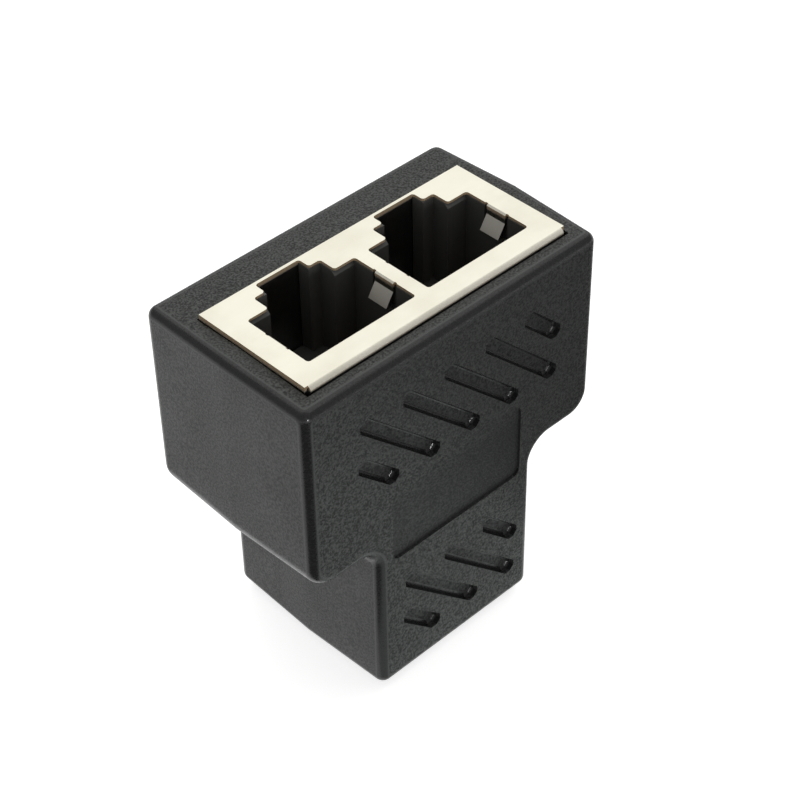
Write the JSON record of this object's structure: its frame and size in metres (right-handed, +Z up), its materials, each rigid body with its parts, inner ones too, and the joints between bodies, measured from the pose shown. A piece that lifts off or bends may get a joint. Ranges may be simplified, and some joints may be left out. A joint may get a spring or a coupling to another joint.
{
  "type": "ethernet splitter adapter",
  "caption": "T-shaped network splitter: shielded plug sockets side by side in a wide grooved block, joined inside to a socket in the narrower neck below.",
  "frame": {"origin": "middle of the footprint, on the face of the lower port", "axes": "+Z up through the ports, +X along the row of upper ports, the panelled front faces -Y"},
  "size_m": [0.0348, 0.0198, 0.0389],
  "materials": {
    "housing_plastic": "fine spark grain",
    "shield_plate": "nickel plated sheet, satin",
    "jack_plastic": "smooth moulded",
    "contact_gold": "gold plated",
    "board": "solder mask"
  },
  "bodies": {
    "root": {"front_shell": "housing_plastic", "rear_shell": "housing_plastic", "circuit_board": "board", "twin_shield": "shield_plate", "lower_shield": "shield_plate", "twin_housing": "jack_plastic", "lower_housing": "jack_plastic", "left_contact_insert": "jack_plastic", "left_contact_1": "contact_gold", "left_contact_2": "contact_gold", "left_contact_3": "contact_gold", "left_contact_4": "contact_gold", "left_contact_5": "contact_gold", "left_contact_6": "contact_gold", "left_contact_7": "contact_gold", "left_contact_8": "contact_gold", "right_contact_insert": "jack_plastic", "right_contact_1": "contact_gold", "right_contact_2": "contact_gold", "right_contact_3": "contact_gold", "right_contact_4": "contact_gold", "right_contact_5": "contact_gold", "right_contact_6": "contact_gold", "right_contact_7": "contact_gold", "right_contact_8": "contact_gold", "lower_contact_insert": "jack_plastic", "lower_contact_1": "contact_gold", "lower_contact_2": "contact_gold", "lower_contact_3": "contact_gold", "lower_contact_4": "contact_gold", "lower_contact_5": "contact_gold", "lower_contact_6": "contact_gold", "lower_contact_7": "contact_gold", "lower_contact_8": "contact_gold"}
  },
  "joints": []
}
